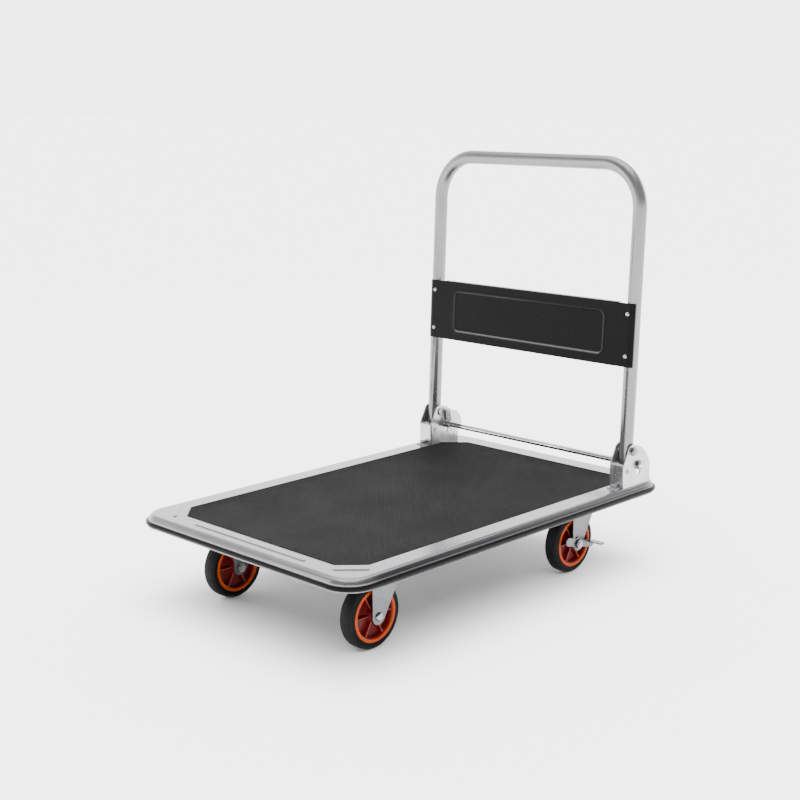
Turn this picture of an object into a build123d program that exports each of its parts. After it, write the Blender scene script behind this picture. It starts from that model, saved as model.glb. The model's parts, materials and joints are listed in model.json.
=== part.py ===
from build123d import *
from math import cos, radians, sin, sqrt
import os

os.makedirs("parts", exist_ok=True)

# Folding platform cart, in millimetres. +X points forward, away from the push handle, +Y to
# the left and +Z up. The origin lies on the floor under the middle of the deck.

# Clearances
fit_gap = 0.05  # radial clearance of pins, shafts and bushes
side_gap = 0.3  # side clearance between pieces that move past each other

# Deck tray, pressed from one sheet
tray_length = 890.0
tray_width = 580.0
tray_corner = 52.0
tray_sheet = 2.0
tray_depth = 22.5
shoulder_radius = 12.0
flange_out = 2.2  # rolled bottom edge, below the bumper
flange_height = 3.5
mat_recess = 1.5

# Mat
mat_end_margin = 50.0  # from the tray's ends
mat_side_margin = 47.5  # from the tray's sides
mat_chamfer = 42.0
mat_thickness = 2.2
mat_clearance = 0.6

# Pressed stiffening beads in the tray's margin
bead_width = 8.0
bead_height = 1.6
front_bead_side_margin = 140.0  # from the tray's sides to the bead's ends
front_bead_inset = 31.0  # from the tray's front end to the bead's middle
corner_bead_length = 62.0
corner_bead_offset = 23.0  # outward from the mat's chamfer

# Bumper strip round the tray
bumper_out = 5.0
bumper_height = 7.0
bumper_rounding = 2.4

# Hat-section members welded under the deck
member_sheet = 2.0
member_depth = 20.0
member_crown = 118.0
member_flange = 21.0
member_side_margin = 60.0  # from the tray's sides to the member's ends
rail_crown = 38.0
rail_flange = 12.0
rail_depth = 18.0
rail_spacing = 190.0
rail_end_gap = 3.0

# Wheels
wheel_diameter = 125.0
tyre_width = 30.0
tyre_shoulder = 9.0
tyre_height = 13.0
rim_ring_wall = 8.0
core_web = 4.0
core_rib = 2.6
core_rib_count = 6
core_rib_depth = 22.0
hub_radius = 14.0
hub_length = 40.0
bush_wall = 2.4
axle_radius = 5.0

# Castors
wheel_side_margin = 102.0  # from the tray's sides to the wheels' mid planes
fixed_axle_margin = 145.5  # from the tray's front end
swivel_axle_margin = 179.5  # from the tray's rear end
wheel_clearance = 13.5  # above a wheel, up to the swivel fork's crown
swivel_trail = 30.0
fixed_plate_offset = 20.0  # from the fixed axle back to its plate's middle
fork_gap = 42.0
fork_sheet = 2.5
leg_radius = 15.0
fixed_leg_back = 66.0  # rear end of the leg's top, behind the axle
swivel_leg_back = 60.0
crown_drop = 13.5  # from the swivel's top plate down to the top of its fork
plate_length = 105.0
plate_width = 84.0
plate_thickness = 3.0
plate_corner = 8.0
plate_holes_x = 84.0
plate_holes_y = 64.0
king_pin_radius = 6.0
king_head_radius = 11.0
king_head_height = 4.0
ball_radius = 2.7
ball_count = 14
ball_circle = 23.5
race_outer = 30.0
race_wall = 3.0

# M8 bolts and nuts of the castors and brackets
bolt_radius = 4.0
bolt_hole_radius = 4.3
hex_across = 13.0
hex_head = 5.3
hex_nut = 6.5

# Brake lever on each swivel castor
lever_sheet = 2.0
lever_boss = 14.0
lever_front = (31.0, 9.7)  # middle of the front lobe, from the axle
lever_front_radius = 8.5
lever_rear = (-43.0, -9.5)
lever_rear_radius = 6.5
tread_reach = 30.0
tread_length = 15.0
axle_nut = 4.0
axle_head_radius = 8.0
axle_head_height = 4.5

# Push handle
pivot_margin = 95.0  # from the tray's rear end
pivot_height = 72.0  # above the deck
handle_lean = 2.5  # degrees back from upright
handle_reach = 566.0  # from the pivot to the middle of the grip
post_side_margin = 28.0  # from the tray's sides to the posts' middles
tube_radius = 14.0
tube_wall = 1.5
handle_corner = 88.0
post_end = 27.0  # tube below the pivot
plug_drop = 3.0  # bevelled plug below the tube's end
plug_bevel = 64.0  # degrees, keeps the plug inside its swing round the pivot
plug_stem = 14.0
pivot_radius = 5.0
pivot_bush_wall = 1.5

# Panel across the handle
panel_height = 127.0
panel_middle = 232.5  # above the pivot, along the handle
panel_sheet = 1.5
panel_gap = 0.3  # between the panel and the tubes
panel_wrap = 9.0  # the panel's bent ends stop this far in front of the tubes' middle
panel_flange = 15.0
panel_flange_end = 30.0  # from the posts' middles to the flanges' ends
panel_recess_end = 61.0  # from the posts' middles to the recess
panel_recess_edge = 19.5  # from the panel's long edges to the recess
panel_recess_depth = 3.0
panel_recess_corner = 11.0
rivet_pitch = 84.0
rivet_inset = 4.5  # from the posts' middles
rivet_radius = 2.2
rivet_head_radius = 4.6
rivet_head_height = 2.2

# Hinge brackets on the deck
bracket_sheet = 2.5
bracket_side_gap = 1.0  # beside the posts
bracket_ahead = 30.0  # ahead of the pivot
bracket_behind = 60.0  # behind the pivot
web_height = 45.0
bracket_top_radius = 14.0
foot_reach = 16.0
foot_width = 22.0
bracket_bolt_steps = (38.0, 10.0, -44.0)  # forward from the pivot
stop_pin_ahead = 16.0  # ahead of the pivot
stop_pin_drop = 39.0  # below the pivot
stop_pin_radius = 3.0

# Release bar between the brackets
bar_radius = 5.5
bar_behind = 20.0  # behind the pivot
bar_drop = 31.0  # below the pivot
bar_travel = 14.0
slot_clearance = 0.3
bar_nut_across = 17.0
bar_nut_height = 6.0
cam_radius = 33.0
cam_hub = 9.5
cam_sheet = 2.5
cam_spacing = 14.5
spring_wire = 1.3
spring_turns = 3

# Derived sizes
wheel_radius = wheel_diameter / 2
rim_outer_radius = wheel_radius - tyre_height
swivel_crown = wheel_diameter + wheel_clearance + fork_sheet
deck_top = swivel_crown + crown_drop + member_depth + tray_sheet + mat_recess
mat_length = tray_length - 2 * mat_end_margin
mat_width = tray_width - 2 * mat_side_margin
front_bead_length = tray_width - 2 * front_bead_side_margin
member_length = tray_width - 2 * member_side_margin
wheel_track = tray_width - 2 * wheel_side_margin
fixed_axle_x = tray_length / 2 - fixed_axle_margin
swivel_axle_x = swivel_axle_margin - tray_length / 2
pivot_x = pivot_margin - tray_length / 2
pivot_z = deck_top + pivot_height
post_y = tray_width / 2 - post_side_margin
panel_flange_half = post_y - panel_flange_end
panel_recess = (2 * (post_y - panel_recess_end), panel_height - 2 * panel_recess_edge)
rivet_y = post_y - rivet_inset
bracket_gap = 2 * (tube_radius + bracket_side_gap)
bracket_front = pivot_x + bracket_ahead
bracket_rear = pivot_x - bracket_behind
bracket_bolts_x = [pivot_x + step for step in bracket_bolt_steps]
stop_pin = (pivot_x + stop_pin_ahead, pivot_z - stop_pin_drop)
bar_x = pivot_x - bar_behind
bar_z = pivot_z - bar_drop
tray_bottom = deck_top - tray_depth
under_deck = deck_top - mat_recess - tray_sheet
member_bottom = under_deck - member_depth
plate_bottom = member_bottom - plate_thickness
core_radius = rim_outer_radius - rim_ring_wall
leg_outer = fork_gap / 2 + fork_sheet
fixed_plate_x = fixed_axle_x - fixed_plate_offset
swivel_x = swivel_axle_x - swivel_trail
bush_radius = axle_radius + fit_gap + bush_wall
member_half = member_crown / 2 + member_flange
bracket_outer = bracket_gap / 2 + bracket_sheet
pivot_bush_radius = pivot_radius + fit_gap + pivot_bush_wall
sides = {"left": 1, "right": -1}

lean = radians(handle_lean)
handle_up = (-sin(lean), 0, cos(lean))
handle_front = (cos(lean), 0, sin(lean))
handle_plane = Plane(origin=(pivot_x, 0, pivot_z), x_dir=(0, 1, 0), z_dir=handle_front)


def upright(y):
    """A vertical plane along X at height zero, whose sketches use (x, z)."""
    return Plane(origin=(0, y, 0), x_dir=(1, 0, 0), z_dir=(0, -1, 0))


def save(piece, node):
    piece.part.label = node
    export_step(piece.part, f"parts/{node}.step")


# Deck ---------------------------------------------------------------------------------------

def mat_points(grow):
    """Corners of the mat's outline, grown by a clearance."""
    x, y, c = mat_length / 2 + grow, mat_width / 2 + grow, mat_chamfer
    return [(x, y - c), (x - c, y), (c - x, y), (-x, y - c), (-x, c - y), (c - x, -y), (x - c, -y), (x, c - y)]


bracket_bolt_places = [(x, side * post_y) for side in sides.values() for x in bracket_bolts_x]

with BuildPart() as tray_cavity:
    with BuildSketch(Plane.XY.offset(tray_bottom)):
        RectangleRounded(tray_length - 2 * tray_sheet, tray_width - 2 * tray_sheet, tray_corner - tray_sheet)
    extrude(amount=tray_depth - tray_sheet)
    fillet(tray_cavity.faces().sort_by(Axis.Z)[-1].edges(), shoulder_radius - tray_sheet)

with BuildPart() as tray_flange:
    with BuildSketch(Plane.XY.offset(tray_bottom)):
        RectangleRounded(tray_length + 2 * flange_out, tray_width + 2 * flange_out, tray_corner + flange_out)
    extrude(amount=flange_height)
    fillet(tray_flange.faces().group_by(Axis.Z)[-1].edges(), flange_height * 0.45)
    fillet(tray_flange.faces().group_by(Axis.Z)[0].edges(), flange_height * 0.45)

with BuildPart() as margin_beads:
    with BuildSketch(Plane.XY.offset(deck_top)):
        with Locations((tray_length / 2 - front_bead_inset, 0)):
            SlotOverall(front_bead_length, bead_width, rotation=90)
        reach = corner_bead_offset / sqrt(2) - mat_chamfer / 2
        for side in sides.values():
            with Locations((mat_length / 2 + reach, side * (mat_width / 2 + reach))):
                SlotOverall(corner_bead_length, bead_width, rotation=-45 * side)
    extrude(amount=bead_height)
    fillet(margin_beads.faces().group_by(Axis.Z)[-1].edges(), bead_height * 0.9)

with BuildPart() as deck_tray:
    with BuildSketch(Plane.XY.offset(tray_bottom)):
        RectangleRounded(tray_length, tray_width, tray_corner)
    extrude(amount=tray_depth)
    fillet(deck_tray.faces().sort_by(Axis.Z)[-1].edges(), shoulder_radius)
    add(tray_flange.part)
    add(tray_cavity.part, mode=Mode.SUBTRACT)
    # the field under the mat is pressed down as deep as the recess
    with BuildSketch(Plane.XY.offset(under_deck)):
        Polygon(*mat_points(mat_clearance + tray_sheet), align=None)
    extrude(amount=mat_recess + tray_sheet / 2)
    with BuildSketch(Plane.XY.offset(deck_top - mat_recess)):
        Polygon(*mat_points(mat_clearance), align=None)
    extrude(amount=mat_recess + 1, mode=Mode.SUBTRACT)
    add(margin_beads.part)
    with BuildSketch(Plane.XY.offset(deck_top)):
        with Locations(*bracket_bolt_places):
            Circle(bolt_hole_radius)
    extrude(amount=-tray_depth, mode=Mode.SUBTRACT)
save(deck_tray, "deck_tray")

with BuildPart() as deck_mat:
    with BuildSketch(Plane.XY.offset(deck_top - mat_recess)):
        Polygon(*mat_points(0), align=None)
    extrude(amount=mat_thickness)
    chamfer(deck_mat.faces().sort_by(Axis.Z)[-1].edges(), 0.5)
save(deck_mat, "deck_mat")

bumper_bottom = tray_bottom + flange_height
with BuildPart() as bumper_strip:
    with BuildSketch(Plane.XY.offset(bumper_bottom)):
        RectangleRounded(tray_length + 2 * bumper_out, tray_width + 2 * bumper_out, tray_corner + bumper_out)
    extrude(amount=bumper_height)
    fillet(bumper_strip.faces().group_by(Axis.Z)[-1].edges(), bumper_rounding)
    fillet(bumper_strip.faces().group_by(Axis.Z)[0].edges(), bumper_rounding)
    with BuildSketch(Plane.XY.offset(bumper_bottom)):
        RectangleRounded(tray_length, tray_width, tray_corner)
    extrude(amount=bumper_height, mode=Mode.SUBTRACT)
save(bumper_strip, "bumper_strip")


def hat_section(crown, flange, depth):
    """Profile of a folded hat, crown down, hanging from the origin's height."""
    half, wide, sheet = crown / 2, crown / 2 + flange, member_sheet
    right = [(half, -depth), (half, -sheet), (wide, -sheet), (wide, 0), (half - sheet, 0), (half - sheet, sheet - depth)]
    return right + [(-x, z) for x, z in reversed(right)]


plate_middles = {"front": fixed_plate_x, "rear": swivel_x}
for end, member_x in plate_middles.items():
    with BuildPart() as cross_member:
        with BuildSketch(Plane(origin=(member_x, 0, under_deck), x_dir=(1, 0, 0), z_dir=(0, -1, 0))):
            Polygon(*hat_section(member_crown, member_flange, member_depth), align=None)
        extrude(amount=member_length / 2, both=True)
        with BuildSketch(Plane.XY.offset(member_bottom)):
            for side in sides.values():
                with Locations((member_x, side * wheel_track / 2)):
                    with GridLocations(plate_holes_x, plate_holes_y, 2, 2):
                        Circle(bolt_hole_radius)
        extrude(amount=member_sheet, mode=Mode.SUBTRACT)
    save(cross_member, f"{end}_cross_member")

rail_front = fixed_plate_x - member_half - rail_end_gap
rail_rear = swivel_x + member_half + rail_end_gap
for name, side in sides.items():
    with BuildPart() as deck_rail:
        with BuildSketch(Plane(origin=(rail_rear, side * rail_spacing / 2, under_deck), x_dir=(0, 1, 0), z_dir=(1, 0, 0))):
            Polygon(*hat_section(rail_crown, rail_flange, rail_depth), align=None)
        extrude(amount=rail_front - rail_rear)
    save(deck_rail, f"{name}_deck_rail")


# Hinge brackets -----------------------------------------------------------------------------

def bracket_plate_outline():
    """Outline of a bracket's side plate in (x, z): sloped front, round top, arched back."""
    top = bracket_top_radius
    front_top = (pivot_x + top * cos(radians(20)), pivot_z + top * sin(radians(20)))
    back_top = (pivot_x + top * cos(radians(110)), pivot_z + top * sin(radians(110)))
    back_low = (bracket_rear, bar_z - bar_radius)
    with BuildLine() as outline:
        Polyline((bracket_rear, deck_top), (bracket_front, deck_top), (bracket_front, deck_top + web_height), front_top)
        ThreePointArc(front_top, (pivot_x + top * cos(radians(60)), pivot_z + top * sin(radians(60))), back_top)
        ThreePointArc(back_top, (bracket_rear + 17, pivot_z - 7), back_low)
        Line(back_low, (bracket_rear, deck_top))
    return outline.line


for name, side in sides.items():
    with BuildPart() as hinge_bracket:
        for wall in (1, -1):
            wall_y = side * post_y + wall * (bracket_gap + bracket_sheet) / 2
            with BuildSketch(upright(wall_y)):
                with BuildLine():
                    add(bracket_plate_outline())
                make_face()
                with Locations((pivot_x, pivot_z)):
                    Circle(pivot_radius + fit_gap, mode=Mode.SUBTRACT)
                with Locations(stop_pin):
                    Circle(stop_pin_radius + fit_gap, mode=Mode.SUBTRACT)
                with Locations((bar_x, bar_z - bar_travel / 2)):
                    SlotCenterToCenter(bar_travel, 2 * (bar_radius + slot_clearance), rotation=90, mode=Mode.SUBTRACT)
            extrude(amount=bracket_sheet / 2, both=True)
        with BuildSketch(Plane(origin=(bracket_front, side * post_y, deck_top), x_dir=(0, 1, 0), z_dir=(1, 0, 0))):
            Rectangle(bracket_gap, web_height, align=(Align.CENTER, Align.MIN))
        extrude(amount=-bracket_sheet)
        corner_edges = hinge_bracket.edges().filter_by(Axis.Z).group_by(Axis.X)[-1]
        fillet(corner_edges, bracket_sheet)
        with BuildSketch(Plane(origin=(bracket_rear, side * post_y, deck_top))):
            Rectangle(bracket_front - bracket_rear, bracket_gap, align=(Align.MIN, Align.CENTER))
            Rectangle(bracket_front - bracket_rear + foot_reach, foot_width, align=(Align.MIN, Align.CENTER))
        extrude(amount=bracket_sheet)
        with BuildSketch(Plane.XY.offset(deck_top)):
            with Locations(*[(x, side * post_y) for x in bracket_bolts_x]):
                Circle(bolt_hole_radius)
        extrude(amount=bracket_sheet, mode=Mode.SUBTRACT)
    save(hinge_bracket, f"{name}_hinge_bracket")


def vertical_hexes(places, across, bottom, height, hole=0.0):
    """Separate hexagonal solids standing on one level, each with an optional bore."""
    with BuildPart() as hexes:
        with BuildSketch(Plane.XY.offset(bottom)):
            with Locations(*places):
                RegularPolygon(across / 2, 6, major_radius=False)
                if hole:
                    Circle(hole, mode=Mode.SUBTRACT)
        extrude(amount=height)
        chamfer(hexes.edges().filter_by(GeomType.LINE).group_by(Axis.Z)[-1], 0.6)
    return hexes.part


def vertical_studs(places, radius, bottom, height):
    with BuildPart() as studs:
        with BuildSketch(Plane.XY.offset(bottom)):
            with Locations(*places):
                Circle(radius)
        extrude(amount=height)
    return studs.part


bracket_bolt_foot = under_deck - 12
with BuildPart() as bracket_bolts:
    add(vertical_hexes(bracket_bolt_places, hex_across, deck_top + bracket_sheet, hex_head))
    add(vertical_studs(bracket_bolt_places, bolt_radius, bracket_bolt_foot, deck_top + bracket_sheet - bracket_bolt_foot))
save(bracket_bolts, "bracket_bolts")

nut_top = deck_top - tray_sheet
with BuildPart() as bracket_nuts:
    add(vertical_hexes(bracket_bolt_places, hex_across, nut_top - hex_nut, hex_nut, bolt_radius + fit_gap))
save(bracket_nuts, "bracket_nuts")


def cross_pin(place, radius, length, head_radius, head_height, head_sides=(1, -1)):
    """A pin along Y through both walls of each bracket, with domed heads outside them."""
    with BuildPart() as pins:
        for side in sides.values():
            with BuildSketch(upright(side * post_y)):
                with Locations(place):
                    Circle(radius)
            extrude(amount=length / 2, both=True)
            for head in head_sides:
                foot = side * post_y + head * side * bracket_outer
                with BuildSketch(upright(foot)):
                    with Locations(place):
                        Circle(head_radius)
                extrude(amount=-head * side * head_height, taper=30)
    return pins.part


with BuildPart() as stop_pins:
    add(cross_pin(stop_pin, stop_pin_radius, 2 * bracket_outer, stop_pin_radius + 2, 1.8))
save(stop_pins, "stop_pins")

pivot_nut_height = 6.0
pivot_stub = 1.2
with BuildPart() as pivot_bolts:
    add(cross_pin((pivot_x, pivot_z), pivot_radius, 2 * bracket_outer, pivot_radius + 4, 3.4, head_sides=(-1,)))
    for side in sides.values():
        with BuildSketch(upright(side * (post_y + bracket_outer))):
            with Locations((pivot_x, pivot_z)):
                Circle(pivot_radius)
        extrude(amount=-side * (pivot_nut_height + pivot_stub))
save(pivot_bolts, "pivot_bolts")


def side_nuts(place, across, bore, foot, height):
    """A hexagonal nut along Y on the outer side of each bracket or bar end."""
    with BuildPart() as nuts:
        for side in sides.values():
            with BuildSketch(upright(side * foot)):
                with Locations(place):
                    RegularPolygon(across / 2, 6, major_radius=False)
                    Circle(bore, mode=Mode.SUBTRACT)
            extrude(amount=-side * height)
    return nuts.part


with BuildPart() as pivot_nuts:
    add(side_nuts((pivot_x, pivot_z), hex_across + 3, pivot_radius + fit_gap, post_y + bracket_outer, pivot_nut_height))
save(pivot_nuts, "pivot_nuts")


# Push handle --------------------------------------------------------------------------------

with BuildPart() as handle_tube:
    with BuildLine(handle_plane) as handle_path:
        FilletPolyline(
            (post_y, -post_end), (post_y, handle_reach), (-post_y, handle_reach), (-post_y, -post_end),
            radius=handle_corner,
        )
    with BuildSketch(Plane(origin=handle_path.line @ 0, z_dir=handle_path.line % 0)):
        Circle(tube_radius)
        Circle(tube_radius - tube_wall, mode=Mode.SUBTRACT)
    sweep()
    with BuildSketch(upright(0)):
        with Locations((pivot_x, pivot_z)):
            Circle(pivot_bush_radius + fit_gap)
    extrude(amount=post_y + 2 * tube_radius, both=True, mode=Mode.SUBTRACT)
    with BuildSketch(handle_plane):
        with Locations((0, panel_middle)):
            with GridLocations(2 * rivet_y, rivet_pitch, 2, 2):
                Circle(rivet_radius + fit_gap)
    extrude(amount=2 * tube_radius, mode=Mode.SUBTRACT)
save(handle_tube, "handle_tube")

panel_inner = tube_radius + panel_gap
panel_outer = panel_inner + panel_sheet
panel_low = panel_middle - panel_height / 2
panel_foot = handle_plane.from_local_coords((0, panel_low, 0))
with BuildPart() as handle_panel:
    with BuildSketch(Plane(origin=panel_foot, x_dir=(0, 1, 0), z_dir=handle_up)):
        SlotCenterToCenter(2 * post_y, 2 * panel_outer)
        SlotCenterToCenter(2 * post_y, 2 * panel_inner, mode=Mode.SUBTRACT)
        with Locations((0, -panel_wrap)):
            Rectangle(2 * (post_y + 2 * panel_outer), 2 * panel_outer, align=(Align.CENTER, Align.MIN), mode=Mode.SUBTRACT)
    extrude(amount=panel_height)
    with BuildSketch(handle_plane.offset(panel_inner - panel_flange)):
        for edge in (1, -1):
            with Locations((0, panel_middle + edge * (panel_height - panel_sheet) / 2)):
                Rectangle(2 * panel_flange_half, panel_sheet)
    extrude(amount=panel_flange)
    with BuildSketch(handle_plane.offset(panel_inner - panel_recess_depth)):
        with Locations((0, panel_middle)):
            RectangleRounded(panel_recess[0] + 2, panel_recess[1] + 2, panel_recess_corner + 1)
    extrude(amount=panel_recess_depth)
    with BuildSketch(handle_plane.offset(panel_outer)):
        with Locations((0, panel_middle)):
            RectangleRounded(panel_recess[0], panel_recess[1], panel_recess_corner)
    extrude(amount=-panel_recess_depth, taper=35, mode=Mode.SUBTRACT)
    with BuildSketch(handle_plane):
        with Locations((0, panel_middle)):
            with GridLocations(2 * rivet_y, rivet_pitch, 2, 2):
                Circle(rivet_radius + fit_gap)
    extrude(amount=2 * panel_outer, mode=Mode.SUBTRACT)
save(handle_panel, "handle_panel")

with BuildPart() as panel_rivets:
    with BuildSketch(handle_plane.offset(panel_outer - 7)):
        with Locations((0, panel_middle)):
            with GridLocations(2 * rivet_y, rivet_pitch, 2, 2):
                Circle(rivet_radius)
    extrude(amount=7)
    with BuildSketch(handle_plane.offset(panel_outer)):
        with Locations((0, panel_middle)):
            with GridLocations(2 * rivet_y, rivet_pitch, 2, 2):
                Circle(rivet_head_radius)
    extrude(amount=rivet_head_height, taper=35)
save(panel_rivets, "panel_rivets")

post_foot = Plane(handle_plane.from_local_coords((0, -post_end, 0)), x_dir=(0, 1, 0), z_dir=handle_up)
with BuildPart() as post_plugs:
    with BuildSketch(post_foot):
        with GridLocations(2 * post_y, 0, 2, 1):
            Circle(tube_radius - tube_wall - fit_gap)
    extrude(amount=plug_stem)
    with BuildSketch(post_foot):
        with GridLocations(2 * post_y, 0, 2, 1):
            Circle(tube_radius)
    extrude(amount=-plug_drop, taper=plug_bevel)
save(post_plugs, "post_plugs")

with BuildPart() as pivot_bushes:
    for side in sides.values():
        with BuildSketch(upright(side * post_y)):
            with Locations((pivot_x, pivot_z)):
                Circle(pivot_bush_radius)
                Circle(pivot_radius + fit_gap, mode=Mode.SUBTRACT)
        extrude(amount=bracket_gap / 2 - side_gap, both=True)
save(pivot_bushes, "pivot_bushes")


# Release bar --------------------------------------------------------------------------------

bar_nut_foot = post_y + bracket_outer + side_gap
bar_half = bar_nut_foot + bar_nut_height + 1.5
with BuildPart() as release_bar:
    with BuildSketch(upright(0)):
        with Locations((bar_x, bar_z)):
            Circle(bar_radius)
    extrude(amount=bar_half, both=True)
    chamfer(release_bar.edges().filter_by(GeomType.CIRCLE), 1)
save(release_bar, "release_bar")

with BuildPart() as release_nuts:
    add(side_nuts((bar_x, bar_z), bar_nut_across, bar_radius + fit_gap, bar_nut_foot, bar_nut_height))
save(release_nuts, "release_nuts")

cam_y = post_y - bracket_outer - side_gap - cam_sheet / 2
cam_start = radians(80)
cam_middle = radians(132)
cam_end = radians(184)


def cam_point(angle):
    return (bar_x + cam_radius * cos(angle), bar_z + cam_radius * sin(angle))


with BuildPart() as latch_cams:
    for side in sides.values():
        for cam in (0, 1):
            with BuildSketch(upright(side * (cam_y - cam * cam_spacing))):
                with BuildLine():
                    Line((bar_x, bar_z), cam_point(cam_start))
                    ThreePointArc(cam_point(cam_start), cam_point(cam_middle), cam_point(cam_end))
                    Line(cam_point(cam_end), (bar_x, bar_z))
                make_face()
                with Locations((bar_x, bar_z)):
                    Circle(cam_hub)
                    Circle(bar_radius + fit_gap, mode=Mode.SUBTRACT)
            extrude(amount=cam_sheet / 2, both=True)
save(latch_cams, "latch_cams")

spring_radius = bar_radius + spring_wire + 0.3
spring_pitch = (cam_spacing - cam_sheet - 2 * spring_wire - 1) / spring_turns
spring_start = cam_y - cam_sheet / 2 - spring_wire - 0.5
with BuildPart() as return_springs:
    for side in sides.values():
        with BuildLine() as coil:
            Helix(
                spring_pitch, spring_pitch * spring_turns, spring_radius,
                center=(bar_x, side * spring_start, bar_z), direction=(0, -side, 0),
            )
        with BuildSketch(Plane(origin=coil.line @ 0, z_dir=coil.line % 0)):
            Circle(spring_wire)
        sweep(path=coil.line, is_frenet=True)
save(return_springs, "return_springs")


# Castors ------------------------------------------------------------------------------------

def fork_leg(axle_x, side_y, top, back):
    """One leg of a fork: a round end at the axle, an upright front and a sloped back."""
    with BuildPart() as leg:
        with BuildSketch(upright(side_y)):
            with BuildLine():
                CenterArc((axle_x, wheel_radius), leg_radius, 0, 360)
                Polyline(
                    (axle_x - back, top), (axle_x + leg_radius, top), (axle_x + leg_radius, top - fork_sheet),
                    (axle_x - back, top - fork_sheet), close=True,
                )
            make_hull()
            with Locations((axle_x, wheel_radius)):
                Circle(axle_radius + fit_gap, mode=Mode.SUBTRACT)
        extrude(amount=fork_sheet / 2, both=True)
    return leg.part


def fork(axle_x, middle_y, top, back):
    """Two legs and the crown that joins them, bent from one sheet."""
    leg_y = (fork_gap + fork_sheet) / 2
    legs = [fork_leg(axle_x, middle_y + leg_side * leg_y, top, back) for leg_side in (1, -1)]
    with BuildPart() as bent_fork:
        for leg in legs:
            add(leg)
        with BuildSketch(Plane.XY.offset(top - fork_sheet)):
            with Locations((axle_x + (leg_radius - back) / 2, middle_y)):
                Rectangle(leg_radius + back, fork_gap)
        extrude(amount=fork_sheet)
        outer_edges = bent_fork.edges().filter_by(Axis.X).group_by(Axis.Z)[-1]
        fillet(outer_edges.sort_by(Axis.Y)[0::len(outer_edges) - 1], fork_sheet * 0.8)
    return bent_fork.part


def castor_plate(plate_x, middle_y, bore=0.0):
    with BuildPart() as plate:
        with BuildSketch(Plane((plate_x, middle_y, plate_bottom))):
            RectangleRounded(plate_length, plate_width, plate_corner)
            with GridLocations(plate_holes_x, plate_holes_y, 2, 2):
                Circle(bolt_hole_radius, mode=Mode.SUBTRACT)
            if bore:
                Circle(bore, mode=Mode.SUBTRACT)
        extrude(amount=plate_thickness)
    return plate.part


castor_bolt_places = [
    (plate_x + x * plate_holes_x / 2, side * wheel_track / 2 + y * plate_holes_y / 2)
    for plate_x in plate_middles.values() for side in sides.values() for x in (1, -1) for y in (1, -1)
]
castor_nut_foot = member_bottom + member_sheet
with BuildPart() as castor_bolts:
    add(vertical_hexes(castor_bolt_places, hex_across, plate_bottom - hex_head, hex_head))
    add(vertical_studs(castor_bolt_places, bolt_radius, plate_bottom, castor_nut_foot + hex_nut + 2 - plate_bottom))
save(castor_bolts, "castor_bolts")

with BuildPart() as castor_nuts:
    add(vertical_hexes(castor_bolt_places, hex_across, castor_nut_foot, hex_nut, bolt_radius + fit_gap))
save(castor_nuts, "castor_nuts")


def wheel(position, axle_x, middle_y):
    """Tyre, rim ring, ribbed core and bush of one wheel, on an axle along Y."""
    axle_plane = Plane(origin=(axle_x, middle_y, wheel_radius), x_dir=(1, 0, 0), z_dir=(0, -1, 0))
    spin = Axis((axle_x, middle_y, wheel_radius), (0, 1, 0))
    section = Plane(origin=(axle_x, middle_y, wheel_radius), x_dir=(0, 1, 0), z_dir=(1, 0, 0))
    
    with BuildPart() as tyre:
        with BuildSketch(section) as tyre_section:
            with Locations((0, (rim_outer_radius + fit_gap + wheel_radius) / 2)):
                Rectangle(tyre_width, wheel_radius - rim_outer_radius - fit_gap)
            fillet(tyre_section.vertices().group_by(Axis.Y)[-1], tyre_shoulder)
            fillet(tyre_section.vertices().group_by(Axis.Y)[0], 1.0)
        revolve(axis=spin)
    save(tyre, f"{position}_tyre")

    with BuildPart() as rim_ring:
        with BuildSketch(section) as ring_section:
            with Locations((0, (rim_outer_radius + core_radius + fit_gap) / 2)):
                Rectangle(tyre_width, rim_ring_wall - fit_gap)
            fillet(ring_section.vertices().group_by(Axis.Y)[0], 1.5)
            fillet(ring_section.vertices().group_by(Axis.Y)[-1], 0.8)
        revolve(axis=spin)
    save(rim_ring, f"{position}_rim_ring")

    with BuildPart() as wheel_core:
        with BuildSketch(axle_plane):
            Circle(core_radius)
            Circle(bush_radius + fit_gap, mode=Mode.SUBTRACT)
        extrude(amount=core_web / 2, both=True)
        with BuildSketch(axle_plane):
            Circle(hub_radius)
            Circle(bush_radius + fit_gap, mode=Mode.SUBTRACT)
        extrude(amount=hub_length / 2, both=True)
        with BuildSketch(axle_plane):
            with PolarLocations((hub_radius + core_radius - 1.5) / 2, core_rib_count):
                Rectangle(core_radius - hub_radius + 0.5, core_rib)
        extrude(amount=core_rib_depth / 2, both=True)
    save(wheel_core, f"{position}_wheel_core")

    with BuildPart() as wheel_bush:
        with BuildSketch(axle_plane):
            Circle(bush_radius)
            Circle(axle_radius + fit_gap, mode=Mode.SUBTRACT)
        extrude(amount=fork_gap / 2 - side_gap, both=True)
    save(wheel_bush, f"{position}_wheel_bush")


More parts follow.
